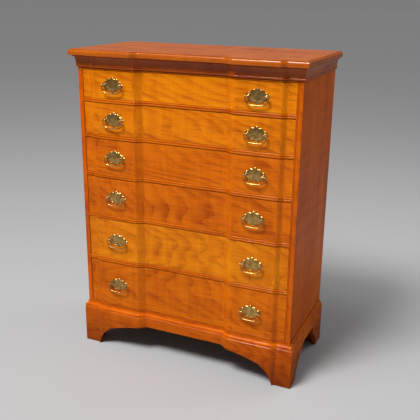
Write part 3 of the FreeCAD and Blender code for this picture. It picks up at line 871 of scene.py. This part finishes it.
def make_drawers(show, inner, brass):
    """The drawers with their brasses, and the bails that hang from them."""
    for number in range(1, DRAWERS + 1):
        name = "drawer_" + str(number)
        tone = DRAWER_TONES[number - 1]
        front, box, bottom = name + "_front", name + "_sides_and_back", name + "_bottom"
        dressed(front, name, "show_wood", show, tone=tone, seed=130.0 + 3.7 * number)
        dressed(box, name, "secondary_wood", inner, tone=0.2, seed=170.0 + 5.1 * number)
        dressed(bottom, name, "secondary_wood", inner, tone=0.1, seed=220.0 + 2.9 * number, way="x")
        make_hardware(number, brass)
    for joint in frame["joints"]:
        if joint["type"] == "hinge":
            make_bail(joint, brass)


# ---- stage ---------------------------------------------------------------------------
FLOOR_COLOUR = (0.385, 0.385, 0.389)
ZENITH_LIGHT = 0.28
HORIZON_LIGHT = 0.10
BACKGROUND_LIGHT = 0.203
SKY_TINT = (1.0, 1.0, 1.02, 1.0)


def make_floor():
    """Pale matt floor, wide enough to reach the horizon."""
    reach, rings, sides = 60.0, 24, 48
    points, faces = [Vector((0, 0, 0))], []
    for k in range(1, rings + 1):
        radius = reach * (k / rings) ** 2
        for i in range(sides):
            turn = 2 * math.pi * i / sides
            points.append(Vector((radius * math.cos(turn), radius * math.sin(turn), 0)))
    for i in range(sides):
        faces.append([0, 1 + i, 1 + (i + 1) % sides])
    for k in range(rings - 1):
        for i in range(sides):
            a, b = 1 + k * sides + i, 1 + k * sides + (i + 1) % sides
            faces.append([a, a + sides, b + sides, b])
    floor = bpy.data.objects.new("floor", new_mesh("floor", points, faces))
    bpy.context.scene.collection.objects.link(floor)
    n = Nodes(bpy.data.materials.new("floor_matt"))
    mottle = n.noise(n.scaled(n.put("TexCoord").outputs["Object"], (3.0, 3.0, 3.0)), 3.0)
    pale = tuple(c * 1.02 for c in FLOOR_COLOUR)
    colour = n.mix(mottle, FLOOR_COLOUR, pale)
    n.join(colour, n.shader.inputs["Base Color"])
    n.shader.inputs["Roughness"].default_value = 0.85
    n.shader.inputs["Specular IOR Level"].default_value = 0.15
    floor.data.materials.append(n.owner)


def make_world():
    """Soft light from overhead that fades towards the horizon, before an even pale background."""
    world = bpy.data.worlds.new("studio")
    bpy.context.scene.world = world
    n = Nodes(world)
    up = n.put("SeparateXYZ", {0: n.put("TexCoord").outputs["Generated"]}).outputs[2]
    fade = ZENITH_LIGHT - HORIZON_LIGHT
    light = n.math("MULTIPLY_ADD", n.math("MAXIMUM", up, 0.0), fade, HORIZON_LIGHT)
    ray = n.put("LightPath").outputs
    mirrored = n.math("MAXIMUM", ray["Is Glossy Ray"], ray["Is Transmission Ray"])
    seen = n.math("MAXIMUM", ray["Is Camera Ray"], mirrored)
    shown = n.math("MULTIPLY", n.math("SUBTRACT", BACKGROUND_LIGHT, light), seen)
    background = n.tree.nodes["Background"]
    background.inputs["Color"].default_value = SKY_TINT
    n.join(n.math("ADD", light, shown), background.inputs["Strength"])


def make_lamp(name, place, target, size, power):
    """Round soft lamp, aimed from a place at a target."""
    lamp = bpy.data.lights.new(name, "AREA")
    lamp.shape = "DISK"
    lamp.size = size
    lamp.energy = power
    lamp_object = bpy.data.objects.new(name, lamp)
    lamp_object.location = place
    way = Vector(target) - Vector(place)
    lamp_object.rotation_euler = way.to_track_quat("-Z", "Y").to_euler()
    bpy.context.scene.collection.objects.link(lamp_object)


def make_sun(direction, power):
    """Very soft light from far off, even over the whole floor."""
    sun = bpy.data.lights.new("far_softbox", "SUN")
    sun.energy = power
    sun.angle = math.radians(30)
    sun_object = bpy.data.objects.new("far_softbox", sun)
    sun_object.rotation_euler = (-Vector(direction)).to_track_quat("-Z", "Y").to_euler()
    bpy.context.scene.collection.objects.link(sun_object)


def make_lights():
    """Main light above the front, a weak one behind the right side, and an even one far off."""
    make_lamp("key", place=(-0.95, -2.95, 5.6), target=(0.0, 0.0, 0.70), size=1.9, power=386.0)
    make_lamp("back", place=(2.2, 2.0, 3.2), target=(0.0, 0.0, 0.6), size=2.0, power=33.0)
    make_sun(direction=(-0.28, -0.38, 0.88), power=1.1)


# ---- camera --------------------------------------------------------------------------
CAMERA_AZIMUTH = math.radians(23.64)
CAMERA_ELEVATION = math.radians(18.29)
CAMERA_ROLL = math.radians(0.744)
CAMERA_DISTANCE = 2.921
CAMERA_TARGET = Vector((0.0189, 0.020, 0.6353))
CAMERA_LENS = 56.71


def make_camera():
    """The photograph's view: aimed at the target from a direction and distance, then rolled."""
    camera = bpy.data.cameras.new("camera")
    camera.lens = CAMERA_LENS
    camera.sensor_width = 36.0
    camera.clip_end = 200.0
    camera_object = bpy.data.objects.new("camera", camera)
    flat = math.cos(CAMERA_ELEVATION)
    back = Vector(
        (math.sin(CAMERA_AZIMUTH) * flat, -math.cos(CAMERA_AZIMUTH) * flat, math.sin(CAMERA_ELEVATION))
    )
    camera_object.location = CAMERA_TARGET + back * CAMERA_DISTANCE
    aim = (-back).to_track_quat("-Z", "Y").to_matrix().to_4x4()
    roll = Matrix.Rotation(CAMERA_ROLL, 4, "Z")
    camera_object.rotation_euler = (aim @ roll).to_euler()
    bpy.context.scene.collection.objects.link(camera_object)
    bpy.context.scene.camera = camera_object


# ---- build ---------------------------------------------------------------------------
# Glossier wood of the top and cornice. Its colours are darker than the show wood as painted shade, so
# that the top looks no brighter under the high lamps.
polished_shaded_wood = wood(
    "polished_shaded_wood",
    light=(0.53, 0.150, 0.008),
    middle=(0.42, 0.102, 0.005),
    dark=(0.24, 0.044, 0.003),
    deep_tint=(0.92, 0.56, 0.45),
    ring_width=0.0044,
    roughness=0.30,
    gloss=0.50,
    curl_strength=0.30,
)
show_wood = wood(
    "show_wood",
    light=(0.86, 0.305, 0.004),
    middle=(0.72, 0.207, 0.002),
    dark=(0.41, 0.082, 0.002),
    deep_tint=(0.78, 0.46, 0.30),
    ring_width=0.0044,
    roughness=0.34,
    gloss=0.22,
    curl_strength=0.30,
)
inner_wood = wood(
    "inner_wood",
    light=(0.66, 0.45, 0.235),
    middle=(0.56, 0.355, 0.168),
    dark=(0.38, 0.21, 0.085),
    deep_tint=(0.74, 0.62, 0.50),
    ring_width=0.0038,
    roughness=0.62,
    gloss=0.0,
    curl_strength=0.06,
)
# Very dark wood for the bottom board: painted shade under the chest.
shaded_underside_wood = wood(
    "shaded_underside_wood",
    light=(0.20, 0.125, 0.066),
    middle=(0.15, 0.090, 0.046),
    dark=(0.09, 0.050, 0.024),
    deep_tint=(0.74, 0.62, 0.50),
    ring_width=0.0038,
    roughness=0.74,
    gloss=0.0,
    curl_strength=0.06,
)
brass_metal = aged_brass()

make_case(show_wood, polished_shaded_wood, inner_wood, shaded_underside_wood)
make_drawers(show_wood, inner_wood, brass_metal)
make_nails(iron())
make_floor()
make_world()
make_lights()
make_camera()
bpy.context.scene.view_settings.view_transform = "Standard"
